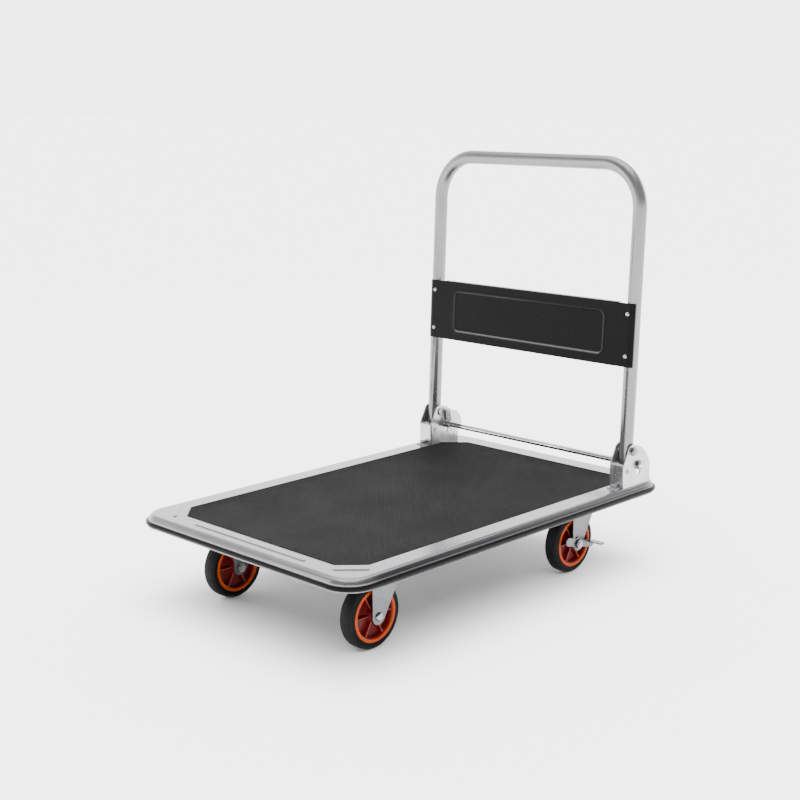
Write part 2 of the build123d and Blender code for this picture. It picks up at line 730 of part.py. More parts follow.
for name, side in sides.items():
    middle_y = side * wheel_track / 2

    # fixed castor at the front
    with BuildPart() as fixed_fork:
        add(castor_plate(fixed_plate_x, middle_y))
        add(fork(fixed_axle_x, middle_y, plate_bottom, fixed_leg_back))
    save(fixed_fork, f"front_{name}_fork")

    with BuildPart() as fixed_axle:
        with BuildSketch(upright(middle_y - side * leg_outer)):
            with Locations((fixed_axle_x, wheel_radius)):
                RegularPolygon(hex_across / 2 + 1.5, 6, major_radius=False)
        extrude(amount=side * axle_nut)
        with BuildSketch(upright(middle_y - side * (leg_outer + axle_nut + 2))):
            with Locations((fixed_axle_x, wheel_radius)):
                Circle(axle_radius)
        extrude(amount=-side * (2 * leg_outer + axle_nut + 2))
        with BuildSketch(upright(middle_y + side * leg_outer)):
            with Locations((fixed_axle_x, wheel_radius)):
                Circle(axle_head_radius)
        extrude(amount=-side * axle_head_height)
        fillet(fixed_axle.faces().filter_by(Axis.Y).sort_by(Axis.Y)[-1 if side > 0 else 0].edges(), axle_head_height * 0.8)
    save(fixed_axle, f"front_{name}_axle")
    wheel(f"front_{name}", fixed_axle_x, middle_y)

    # swivel castor at the back
    race_foot = swivel_crown + 2 * ball_radius + 2 * fit_gap
    with BuildPart() as swivel_plate:
        add(castor_plate(swivel_x, middle_y, king_pin_radius + fit_gap))
        with BuildSketch(Plane((swivel_x, middle_y, race_foot))):
            Circle(race_outer)
            Circle(king_pin_radius + fit_gap, mode=Mode.SUBTRACT)
        extrude(amount=plate_bottom - race_foot)
        with BuildSketch(Plane((swivel_x, middle_y, swivel_crown + side_gap))):
            Circle(race_outer)
            Circle(race_outer - race_wall, mode=Mode.SUBTRACT)
        extrude(amount=race_foot - swivel_crown - side_gap)
    save(swivel_plate, f"rear_{name}_swivel_plate")

    with BuildPart() as king_pin:
        with BuildSketch(Plane((swivel_x, middle_y, member_bottom))):
            Circle(king_pin_radius)
        extrude(amount=swivel_crown - fork_sheet - side_gap - member_bottom)
        with BuildSketch(Plane((swivel_x, middle_y, swivel_crown - fork_sheet - side_gap))):
            Circle(king_head_radius)
        extrude(amount=-king_head_height, taper=20)
    save(king_pin, f"rear_{name}_king_pin")

    with BuildPart() as bearing_balls:
        with Locations((swivel_x, middle_y, swivel_crown + ball_radius + fit_gap)):
            with PolarLocations(ball_circle, ball_count):
                Sphere(ball_radius)
    save(bearing_balls, f"rear_{name}_bearing_balls")

    with BuildPart() as swivel_fork:
        add(fork(swivel_axle_x, middle_y, swivel_crown, swivel_leg_back))
        with BuildSketch(Plane((swivel_x, middle_y, swivel_crown))):
            Circle(king_pin_radius + fit_gap)
        extrude(amount=-fork_sheet, mode=Mode.SUBTRACT)
    save(swivel_fork, f"rear_{name}_fork")

    lever_foot = leg_outer + side_gap
    nut_foot = lever_foot + lever_sheet + side_gap
    with BuildPart() as swivel_axle:
        with BuildSketch(upright(middle_y - side * leg_outer)):
            with Locations((swivel_axle_x, wheel_radius)):
                Circle(axle_radius)
        extrude(amount=-side * (leg_outer + nut_foot + axle_nut + 1.5))
        with BuildSketch(upright(middle_y - side * leg_outer)):
            with Locations((swivel_axle_x, wheel_radius)):
                RegularPolygon(hex_across / 2 + 1.5, 6, major_radius=False)
        extrude(amount=side * hex_head)
        with BuildSketch(upright(middle_y + side * nut_foot)):
            with Locations((swivel_axle_x, wheel_radius)):
                RegularPolygon(hex_across / 2 + 1.5, 6, major_radius=False)
        extrude(amount=-side * axle_nut)
    save(swivel_axle, f"rear_{name}_axle")
    wheel(f"rear_{name}", swivel_axle_x, middle_y)

    rear_x, rear_z = swivel_axle_x + lever_rear[0], wheel_radius + lever_rear[1]
    with BuildPart() as brake_lever:
        with BuildSketch(upright(middle_y + side * lever_foot)):
            with BuildLine():
                CenterArc((swivel_axle_x + lever_front[0], wheel_radius + lever_front[1]), lever_front_radius, 0, 360)
                CenterArc((rear_x, rear_z), lever_rear_radius, 0, 360)
            make_hull()
            with Locations((swivel_axle_x, wheel_radius)):
                Circle(lever_boss)
                Circle(axle_radius + fit_gap, mode=Mode.SUBTRACT)
        extrude(amount=-side * lever_sheet)
        with BuildSketch(Plane((rear_x, middle_y + side * lever_foot, rear_z + lever_rear_radius - lever_sheet))):
            with Locations((0, side * (tread_reach + lever_sheet) / 2)):
                Rectangle(tread_length, tread_reach + lever_sheet)
        extrude(amount=lever_sheet)
        tread_tips = brake_lever.edges().filter_by(Axis.Z).sort_by(Axis.Y)
        fillet(tread_tips[-2:] if side > 0 else tread_tips[:2], 5)
    save(brake_lever, f"rear_{name}_brake_lever")
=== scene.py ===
import json
import math

import bmesh
import bpy
from mathutils import Matrix, Vector

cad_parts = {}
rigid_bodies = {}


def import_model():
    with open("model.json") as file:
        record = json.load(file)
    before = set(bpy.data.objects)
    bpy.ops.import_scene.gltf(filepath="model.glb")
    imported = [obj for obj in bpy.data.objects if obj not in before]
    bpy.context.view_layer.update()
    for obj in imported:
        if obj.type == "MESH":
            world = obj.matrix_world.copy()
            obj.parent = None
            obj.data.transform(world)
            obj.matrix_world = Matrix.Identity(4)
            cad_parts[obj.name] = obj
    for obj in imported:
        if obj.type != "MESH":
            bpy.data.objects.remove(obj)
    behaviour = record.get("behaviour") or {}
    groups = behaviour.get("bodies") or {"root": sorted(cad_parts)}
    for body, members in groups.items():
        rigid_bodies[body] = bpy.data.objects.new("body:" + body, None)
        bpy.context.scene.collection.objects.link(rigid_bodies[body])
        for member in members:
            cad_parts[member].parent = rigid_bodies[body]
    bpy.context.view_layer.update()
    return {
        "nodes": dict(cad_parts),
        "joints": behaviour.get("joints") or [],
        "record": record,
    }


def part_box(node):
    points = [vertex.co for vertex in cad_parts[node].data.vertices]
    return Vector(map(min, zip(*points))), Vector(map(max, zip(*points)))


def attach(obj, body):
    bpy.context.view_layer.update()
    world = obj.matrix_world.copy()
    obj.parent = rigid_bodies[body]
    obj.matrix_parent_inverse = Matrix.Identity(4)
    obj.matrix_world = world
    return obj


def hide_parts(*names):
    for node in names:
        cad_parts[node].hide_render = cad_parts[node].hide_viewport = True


for leftover in list(bpy.data.objects):
    bpy.data.objects.remove(leftover)

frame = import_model()
nodes = frame["nodes"]

MM = 0.001
WHEELS = ("front_left", "front_right", "rear_left", "rear_right")


# Camera, light and floor ----------------------------------------------------------------------

def place_camera():
    data = bpy.data.cameras.new("camera")
    camera = bpy.data.objects.new("camera", data)
    bpy.context.scene.collection.objects.link(camera)
    bpy.context.scene.camera = camera
    data.lens = 63.66
    data.sensor_width = 36.0
    data.clip_end = 200.0
    eye = Vector((1.93318, 1.85919, 0.95530))
    ahead = Vector((-0.69886, -0.68258, -0.21372)).normalized()
    right = ahead.cross(Vector((0, 0, 1))).normalized()
    up = right.cross(ahead)
    roll = math.radians(-0.14)
    turned_right = math.cos(roll) * right + math.sin(roll) * up
    turned_up = math.cos(roll) * up - math.sin(roll) * right
    turn = Matrix((turned_right, turned_up, -ahead)).transposed()
    camera.matrix_world = Matrix.Translation(eye) @ turn.to_4x4()


def area_light(name, place, aim, size, power):
    data = bpy.data.lights.new(name, "AREA")
    data.shape = "RECTANGLE"
    data.size, data.size_y = size
    data.energy = power
    light = bpy.data.objects.new(name, data)
    bpy.context.scene.collection.objects.link(light)
    light.location = place
    light.rotation_euler = (Vector(aim) - Vector(place)).to_track_quat("-Z", "Y").to_euler()


# Brightness of the studio from the horizon (0) to straight up (1), in front of the cart and behind it.
FRONT_LEVELS = ((0.0, 1.0), (0.06, 1.0), (0.14, 0.07), (0.82, 0.03), (0.96, 1.0))
REAR_LEVELS = ((0.0, 1.0), (0.07, 1.0), (0.34, 0.90), (0.62, 0.30), (0.88, 1.0))


def light_world():
    """A studio that is bright at the horizon and overhead, and darker between, to shape the metal."""
    world = bpy.data.worlds.new("studio")
    bpy.context.scene.world = world
    world.use_nodes = True
    tree = world.node_tree
    tree.nodes.clear()
    make, link = tree.nodes.new, tree.links.new
    out = make("ShaderNodeOutputWorld")
    background = make("ShaderNodeBackground")
    coordinates = make("ShaderNodeTexCoord")
    split = make("ShaderNodeSeparateXYZ")
    link(coordinates.outputs["Generated"], split.inputs[0])
    walls = []
    for levels in (FRONT_LEVELS, REAR_LEVELS):
        ramp = make("ShaderNodeValToRGB")
        ramp.color_ramp.interpolation = "EASE"
        while len(ramp.color_ramp.elements) < len(levels):
            ramp.color_ramp.elements.new(0.5)
        for element, (place, tone) in zip(ramp.color_ramp.elements, levels):
            element.position = place
            element.color = (tone, tone, tone, 1)
        link(split.outputs["Z"], ramp.inputs["Fac"])
        walls.append(ramp)
    across = make("ShaderNodeMath")
    across.operation = "ADD"
    link(split.outputs["X"], across.inputs[0])
    link(split.outputs["Y"], across.inputs[1])
    rear = make("ShaderNodeMapRange")
    rear.interpolation_type = "SMOOTHSTEP"
    rear.inputs["From Min"].default_value = 0.3
    rear.inputs["From Max"].default_value = -0.8
    link(across.outputs[0], rear.inputs["Value"])
    blend = make("ShaderNodeMix")
    blend.data_type = "RGBA"
    link(rear.outputs["Result"], blend.inputs[0])
    link(walls[0].outputs["Color"], blend.inputs[6])
    link(walls[1].outputs["Color"], blend.inputs[7])
    link(blend.outputs[2], background.inputs["Color"])
    background.inputs["Strength"].default_value = 4.4
    link(background.outputs[0], out.inputs["Surface"])


def light_lamps():
    """A wide soft sun overhead, kept out of reflections, and two narrow strips of light."""
    overhead = bpy.data.lights.new("overhead", "SUN")
    overhead.energy = 10.4
    overhead.angle = math.radians(72)
    lamp = bpy.data.objects.new("overhead", overhead)
    bpy.context.scene.collection.objects.link(lamp)
    lamp.rotation_euler = (math.radians(-14), math.radians(12), 0)
    lamp.visible_glossy = False
    area_light("side", (3.0, -2.2, 1.5), (0, 0, 0.3), (0.5, 2.0), 16)
    area_light("back", (-3.0, 1.4, 1.8), (0, 0, 0.4), (0.5, 1.8), 16)


def make_floor():
    mesh = bpy.data.meshes.new("floor")
    bm = bmesh.new()
    bmesh.ops.create_circle(bm, cap_ends=True, segments=96, radius=60.0)
    bm.to_mesh(mesh)
    bm.free()
    floor = bpy.data.objects.new("floor", mesh)
    bpy.context.scene.collection.objects.link(floor)
    floor.location.z = -0.0008
    material = bpy.data.materials.new("floor_paper")
    material.use_nodes = True
    tree = material.node_tree
    shader = tree.nodes["Principled BSDF"]
    coordinates = tree.nodes.new("ShaderNodeTexCoord")
    noise = tree.nodes.new("ShaderNodeTexNoise")
    noise.inputs["Scale"].default_value = 2.0
    ramp = tree.nodes.new("ShaderNodeValToRGB")
    ramp.color_ramp.elements[0].color = (0.918, 0.918, 0.918, 1)
    ramp.color_ramp.elements[1].color = (0.930, 0.930, 0.930, 1)
    tree.links.new(coordinates.outputs["Object"], noise.inputs["Vector"])
    tree.links.new(noise.outputs["Fac"], ramp.inputs["Fac"])
    tree.links.new(ramp.outputs["Color"], shader.inputs["Base Color"])
    shader.inputs["Roughness"].default_value = 0.75
    shader.inputs["Specular IOR Level"].default_value = 0.2
    mesh.materials.append(material)


place_camera()
light_world()
light_lamps()
make_floor()


# Materials ------------------------------------------------------------------------------------

def finish(name, dark, light, rough, metallic=0.0, patch=18.0, grain=900.0, grain_height=0.02,
           coat=0.0, coat_rough=0.1, specular=0.5, extra=None):
    """A material whose colour and roughness drift with soft patches, over a fine surface grain.

    rough is the least and greatest roughness, patch and grain are noise scales, and grain_height
    is in millimetres. extra adds nodes of its own to the finished material.
    """
    material = bpy.data.materials.new(name)
    material.use_nodes = True
    tree = material.node_tree
    make, link = tree.nodes.new, tree.links.new
    shader = tree.nodes["Principled BSDF"]
    coordinates = make("ShaderNodeTexCoord")

    patches = make("ShaderNodeTexNoise")
    patches.inputs["Scale"].default_value = patch
    patches.inputs["Detail"].default_value = 6.0
    patches.inputs["Roughness"].default_value = 0.6
    link(coordinates.outputs["Object"], patches.inputs["Vector"])

    ramp = make("ShaderNodeValToRGB")
    ramp.color_ramp.elements[0].position = 0.32
    ramp.color_ramp.elements[0].color = (*dark, 1)
    ramp.color_ramp.elements[1].position = 0.68
    ramp.color_ramp.elements[1].color = (*light, 1)
    link(patches.outputs["Fac"], ramp.inputs["Fac"])
    link(ramp.outputs["Color"], shader.inputs["Base Color"])

    spread = make("ShaderNodeMapRange")
    spread.inputs["From Min"].default_value = 0.3
    spread.inputs["From Max"].default_value = 0.7
    spread.inputs["To Min"].default_value = rough[0]
    spread.inputs["To Max"].default_value = rough[1]
    link(patches.outputs["Fac"], spread.inputs["Value"])
    link(spread.outputs["Result"], shader.inputs["Roughness"])

    fine = make("ShaderNodeTexNoise")
    fine.inputs["Scale"].default_value = grain
    fine.inputs["Detail"].default_value = 2.0
    link(coordinates.outputs["Object"], fine.inputs["Vector"])
    bump = make("ShaderNodeBump")
    bump.inputs["Strength"].default_value = 0.6
    bump.inputs["Distance"].default_value = grain_height * MM
    link(fine.outputs["Fac"], bump.inputs["Height"])
    link(bump.outputs["Normal"], shader.inputs["Normal"])

    shader.inputs["Metallic"].default_value = metallic
    shader.inputs["Specular IOR Level"].default_value = specular
    if coat:
        shader.inputs["Coat Weight"].default_value = coat
        shader.inputs["Coat Roughness"].default_value = coat_rough
    if extra:
        extra(tree, shader, coordinates, bump)
    return material


def stud_pattern(tree, shader, coordinates, bump):
    """Fine crossed ribs pressed into the mat's rubber, with a painted highlight where their crests cross."""
    make, link = tree.nodes.new, tree.links.new
    previous = bump
    waves = []
    for angle in (45, -45):
        mapping = make("ShaderNodeMapping")
        mapping.inputs["Rotation"].default_value = (0, 0, math.radians(angle))
        link(coordinates.outputs["Object"], mapping.inputs["Vector"])
        wave = make("ShaderNodeTexWave")
        wave.wave_type = "BANDS"
        wave.bands_direction = "X"
        wave.wave_profile = "SIN"
        wave.inputs["Scale"].default_value = 100.0
        wave.inputs["Distortion"].default_value = 0.0
        link(mapping.outputs["Vector"], wave.inputs["Vector"])
        ribs = make("ShaderNodeBump")
        ribs.inputs["Strength"].default_value = 0.75
        ribs.inputs["Distance"].default_value = 0.9 * MM
        link(wave.outputs["Fac"], ribs.inputs["Height"])
        link(previous.outputs["Normal"], ribs.inputs["Normal"])
        previous = ribs
        waves.append(wave)
    link(previous.outputs["Normal"], shader.inputs["Normal"])

    # Painted highlight: the rubber is made lighter where the crests of both rib sets meet, and stays dark in
    # the grooves.
    crossing = make("ShaderNodeMath")
    crossing.operation = "MULTIPLY"
    link(waves[0].outputs["Fac"], crossing.inputs[0])
    link(waves[1].outputs["Fac"], crossing.inputs[1])
    stud_top_highlight = make("ShaderNodeMix")
    stud_top_highlight.data_type = "RGBA"
    stud_top_highlight.inputs[7].default_value = (0.020, 0.020, 0.020, 1)
    link(crossing.outputs[0], stud_top_highlight.inputs[0])
    link(shader.inputs["Base Color"].links[0].from_socket, stud_top_highlight.inputs[6])
    link(stud_top_highlight.outputs[2], shader.inputs["Base Color"])


def painted_fold_highlights(tree, shader, coordinates, bump):
    """Painted highlight: paint made a little lighter along the pressed folds, where the mesh carries a
    highlight value.
    """
    make, link = tree.nodes.new, tree.links.new
    fold_highlight = make("ShaderNodeAttribute")
    fold_highlight.attribute_name = "fold_highlight"
    # Painted highlight colour, mixed in by the highlight value.
    highlight_mix = make("ShaderNodeMix")
    highlight_mix.data_type = "RGBA"
    highlight_mix.inputs[7].default_value = (0.105, 0.105, 0.107, 1)
    link(fold_highlight.outputs["Fac"], highlight_mix.inputs[0])
    link(shader.inputs["Base Color"].links[0].from_socket, highlight_mix.inputs[6])
    link(highlight_mix.outputs[2], shader.inputs["Base Color"])


def painted_dark_reflection_sides(tree, shader, coordinates, bump):
    """Painted shade: the rolled long sides of the tray are painted darker than its top, in place of the dark
    surroundings they reflect, and lighten towards the corners.
    """
    make, link = tree.nodes.new, tree.links.new
    split = make("ShaderNodeSeparateXYZ")
    link(coordinates.outputs["Object"], split.inputs[0])
    tray_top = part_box("deck_mat")[0].z
    side_shade_mask = None
    for axis, start, end, low, high in (
        ("Z", tray_top - 0.05 * MM, tray_top - 1.0 * MM, 0.0, 1.0),
        ("X", 0.365, 0.435, 1.0, 0.15),
        ("Y", 0.262, 0.276, 0.15, 1.0),
    ):
        size = make("ShaderNodeMath")
        size.operation = "ABSOLUTE"
        link(split.outputs[axis], size.inputs[0])
        fade = make("ShaderNodeMapRange")
        fade.interpolation_type = "SMOOTHSTEP"
        fade.inputs["From Min"].default_value = start
        fade.inputs["From Max"].default_value = end
        fade.inputs["To Min"].default_value = low
        fade.inputs["To Max"].default_value = high
        link(size.outputs[0], fade.inputs["Value"])
        if side_shade_mask is None:
            side_shade_mask = fade.outputs["Result"]
            continue
        both = make("ShaderNodeMath")
        both.operation = "MULTIPLY"
        link(side_shade_mask, both.inputs[0])
        link(fade.outputs["Result"], both.inputs[1])
        side_shade_mask = both.outputs[0]
    # Painted dark reflection: the masked sides are mixed towards a near-black grey.
    dark = make("ShaderNodeMix")
    dark.data_type = "RGBA"
    dark.inputs[7].default_value = (0.026, 0.026, 0.028, 1)
    link(side_shade_mask, dark.inputs[0])
    link(shader.inputs["Base Color"].links[0].from_socket, dark.inputs[6])
    link(dark.outputs[2], shader.inputs["Base Color"])


def rolled_streaks(tree, shader, coordinates, bump):
    """Faint drawing lines along the sheet, under the plating."""
    make, link = tree.nodes.new, tree.links.new
    mapping = make("ShaderNodeMapping")
    mapping.inputs["Scale"].default_value = (60, 60, 900)
    link(coordinates.outputs["Object"], mapping.inputs["Vector"])
    noise = make("ShaderNodeTexNoise")
    noise.inputs["Scale"].default_value = 1.0
    noise.inputs["Detail"].default_value = 3.0
    link(mapping.outputs["Vector"], noise.inputs["Vector"])
    lines = make("ShaderNodeBump")
    lines.inputs["Strength"].default_value = 0.07
    lines.inputs["Distance"].default_value = 0.03 * MM
    link(noise.outputs["Fac"], lines.inputs["Height"])
    link(bump.outputs["Normal"], lines.inputs["Normal"])
    link(lines.outputs["Normal"], shader.inputs["Normal"])


LOOKS = {
    "tube_paint": finish("tube_paint_look", (0.165, 0.167, 0.171), (0.195, 0.197, 0.201), (0.24, 0.32),
                         metallic=0.8, patch=9, grain=1300, grain_height=0.035, coat=0.15, coat_rough=0.2),
    "tyre_wall": finish("tyre_wall_look", (0.0018, 0.0018, 0.0019), (0.0030, 0.0030, 0.0031), (0.45, 0.6),
                        patch=30, grain=1800, grain_height=0.05, specular=0.08),
    # Painted highlight: a lighter orange-red on the ribs' edges.
    "rib_highlight": finish("rib_highlight_look", (0.26, 0.055, 0.03), (0.34, 0.08, 0.045), (0.35, 0.45),
                       patch=60, grain=1400, grain_height=0.03, specular=0.2),
    "bracket_zinc": finish("bracket_zinc_look", (0.36, 0.364, 0.37), (0.47, 0.474, 0.48), (0.22, 0.32),
                           metallic=0.92, patch=26, grain=1400, grain_height=0.02, extra=rolled_streaks),
    # The tray's silver paint carries painted shade on its long sides.
    "silver_paint": finish("silver_paint_with_painted_shade_look", (0.155, 0.157, 0.160), (0.180, 0.182, 0.185), (0.19, 0.26),
                           metallic=0.8, patch=9, grain=1300, grain_height=0.035, coat=0.15, coat_rough=0.2,
                           extra=painted_dark_reflection_sides),
    "grey_paint": finish("grey_paint_look", (0.12, 0.122, 0.126), (0.15, 0.152, 0.156), (0.42, 0.52),
                         metallic=0.5, patch=14, grain=1100, grain_height=0.04),
    # The panel's black paint carries painted highlights along its folds.
    "black_paint": finish("black_paint_with_painted_highlight_look", (0.0014, 0.0014, 0.0015), (0.0022, 0.0022, 0.0023),
                          (0.24, 0.32), patch=11, grain=1000, grain_height=0.005, specular=0.06,
                          extra=painted_fold_highlights),
    "mat_rubber": finish("mat_rubber_look", (0.0016, 0.0016, 0.0016), (0.0026, 0.0026, 0.0026), (0.62, 0.75),
                         patch=7, grain=1600, grain_height=0.06, specular=0.03, extra=stud_pattern),
    "bumper_rubber": finish("bumper_rubber_look", (0.0012, 0.0012, 0.0012), (0.0022, 0.0022, 0.0022),
                            (0.22, 0.32), patch=12, grain=1500, grain_height=0.02, specular=0.07),
    "tyre": finish("tyre_look", (0.0036, 0.0036, 0.0038), (0.0060, 0.0060, 0.0063), (0.55, 0.72),
                   patch=30, grain=1800, grain_height=0.07, specular=0.12),
    "orange_plastic": finish("orange_plastic_look", (0.31, 0.036, 0.0001), (0.36, 0.046, 0.0002),
                             (0.36, 0.46), patch=40, grain=1500, grain_height=0.025, specular=0.12),
    "red_plastic": finish("red_plastic_look", (0.070, 0.0018, 0.0030), (0.115, 0.0036, 0.0050), (0.34, 0.46),
                          patch=40, grain=1400, grain_height=0.03, specular=0.2),
    "nylon": finish("nylon_look", (0.22, 0.21, 0.19), (0.27, 0.26, 0.235), (0.40, 0.5),
                    patch=60, grain=1500, grain_height=0.02),
    "black_plastic": finish("black_plastic_look", (0.005, 0.005, 0.005), (0.008, 0.008, 0.008), (0.42, 0.55),
                            patch=50, grain=1300, grain_height=0.05, specular=0.2),
    "chrome": finish("chrome_look", (0.50, 0.505, 0.515), (0.60, 0.605, 0.615), (0.10, 0.17),
                     metallic=1.0, patch=30, grain=900, grain_height=0.006),
    "spring_steel": finish("spring_steel_look", (0.30, 0.30, 0.31), (0.40, 0.40, 0.41), (0.24, 0.34),
                           metallic=1.0, patch=90, grain=2000, grain_height=0.01),
    "fastener_steel": finish("fastener_steel_look", (0.20, 0.203, 0.21), (0.32, 0.323, 0.33), (0.24, 0.36),
                             metallic=1.0, patch=120, grain=1800, grain_height=0.02),
    "zinc_steel": finish("zinc_steel_look", (0.098, 0.100, 0.104), (0.135, 0.137, 0.141), (0.24, 0.34),
                         metallic=0.92, patch=26, grain=1400, grain_height=0.02, extra=rolled_streaks),
}


# CAD nodes: the right finish, and a soft break on every edge -------------------------------------

slot_of = {part["node"]: part["material_slot"] for part in frame["record"]["subparts"]}
SOFT_EDGES = {"deck_tray": 0.5, "handle_panel": 0.6, "bumper_strip": 0.5, "handle_tube": 0.3}  # mm

OWN_LOOK = {
    "handle_tube": "tube_paint",
    "left_hinge_bracket": "bracket_zinc",
    "right_hinge_bracket": "bracket_zinc",
    "latch_cams": "bracket_zinc",
}

for name, piece in nodes.items():
    for place in piece.material_slots:
        place.material = LOOKS[OWN_LOOK.get(name, slot_of[name])]
    weld = piece.modifiers.new("joined", "WELD")
    weld.merge_threshold = 0.002 * MM
    edge = piece.modifiers.new("edge", "BEVEL")
    edge.width = SOFT_EDGES.get(name, 0.35) * MM
    edge.segments = 2
    edge.limit_method = "ANGLE"
    edge.angle_limit = math.radians(38)
    edge.use_clamp_overlap = True
    edge.harden_normals = True


# Mesh helpers -------------------------------------------------------------------------------------

def new_piece(name, bm, slots, body, replaced=(), smooth=32.0, looks=None):
    """Makes a mesh into a piece that rides on a body, smooth up to an angle in degrees."""
    bmesh.ops.recalc_face_normals(bm, faces=bm.faces)
    mesh = bpy.data.meshes.new(name)
    bm.to_mesh(mesh)
    bm.free()
    for face in mesh.polygons:
        face.use_smooth = True
    mesh.set_sharp_from_angle(angle=math.radians(smooth))
    for look in looks or slots:
        mesh.materials.append(LOOKS[look])
    piece = bpy.data.objects.new(name, mesh)
    bpy.context.scene.collection.objects.link(piece)
    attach(piece, body)
    if replaced:
        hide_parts(*replaced)
    return piece


def add_lathe(bm, profile, centre, segments=96, slots=None):
    """Turns a closed (radius, offset) profile round an axle along Y."""
    rings = []
    for step in range(segments):
        angle = 2 * math.pi * step / segments
        c, s = math.cos(angle), math.sin(angle)
        rings.append([bm.verts.new((centre.x + r * c, centre.y + w, centre.z + r * s)) for r, w in profile])
    count = len(profile)
    for step in range(segments):
        here, after = rings[step], rings[(step + 1) % segments]
        for i in range(count):
            j = (i + 1) % count
            face = bm.faces.new((here[i], here[j], after[j], after[i]))
            if slots:
                face.material_index = slots[i]


def other_side(half):
    """The mirror image of a profile's half, in the order that closes the profile."""
    return [(r, -w) for r, w in reversed(half)]


def arc(centre, radius, start, end, steps):
    """Points of a circle's arc between two angles in degrees."""
    turns = [math.radians(start + (end - start) * i / steps) for i in range(steps + 1)]
    return [(centre[0] + radius * math.cos(t), centre[1] + radius * math.sin(t)) for t in turns]


# Wheels -------------------------------------------------------------------------------------------

def wheel_middle(position):
    """A wheel's centre, its tyre's radius and half the tyre's width."""
    low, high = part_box(f"{position}_tyre")
    return (low + high) / 2, (high.x - low.x) / 2, (high.y - low.y) / 2


def make_tyre(position):
    """Tyre with rounded shoulders, a mould line round the tread and a groove in each wall."""
    centre, radius, half = wheel_middle(position)
    bore = (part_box(f"{position}_rim_ring")[1].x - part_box(f"{position}_rim_ring")[0].x) / 2
    shoulder = 8.6 * MM
    tread = radius - 0.25 * MM
    profile = [(tread, 0.9 * MM), (tread, half - shoulder)]
    profile += arc((tread - shoulder, half - shoulder), shoulder, 6, 84, 9)
    profile += [
        (tread - shoulder, half),
        (bore + 3.9 * MM, half),
        (bore + 3.4 * MM, half - 0.55 * MM),
        (bore + 2.5 * MM, half - 0.55 * MM),
        (bore + 2.0 * MM, half - 0.05 * MM),
        (bore + 0.6 * MM, half - 0.05 * MM),
        (bore + 0.05 * MM, half - 0.6 * MM),
    ]
    whole = [(radius, 0.25 * MM)] + profile + other_side(profile) + [(radius, -0.25 * MM)]
    walls = [0 if r > tread - shoulder / 2 else 1 for r, _ in whole]
    bm = bmesh.new()
    add_lathe(bm, whole, centre, 144, walls)
    new_piece(f"{position}_tyre_moulded", bm, ["tyre"], f"{position}_wheel", [f"{position}_tyre"],
              looks=["tyre", "tyre_wall"])


def make_rim(position):
    """Orange lip on each side, and a dark red band between lip and core."""
    centre, _, half = wheel_middle(position)
    low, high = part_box(f"{position}_rim_ring")
    outer = (high.x - low.x) / 2
    low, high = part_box(f"{position}_wheel_core")
    core = (high.x - low.x) / 2
    lip = outer - 6.0 * MM
    side = [
        (outer - 0.02 * MM, half - 0.9 * MM),
        (outer - 0.35 * MM, half - 0.25 * MM),
        (outer - 1.0 * MM, half - 0.02 * MM),
        (lip + 1.0 * MM, half - 0.02 * MM),
        (lip + 0.35 * MM, half - 0.25 * MM),
        (lip, half - 0.9 * MM),
        (lip - 0.15 * MM, half - 2.2 * MM),
        (core + 0.9 * MM, half - 2.9 * MM),
        (core + 0.3 * MM, half - 3.6 * MM),
        (core + 0.03 * MM, 3.0 * MM),
    ]
    profile = side + other_side(side)
    slots = [0] * 6 + [1] * 7 + [0] * 7
    bm = bmesh.new()
    add_lathe(bm, profile, centre, 120, slots)
    new_piece(f"{position}_rim_moulded", bm, ["orange_plastic", "red_plastic"], f"{position}_wheel",
              [f"{position}_rim_ring"], 40)


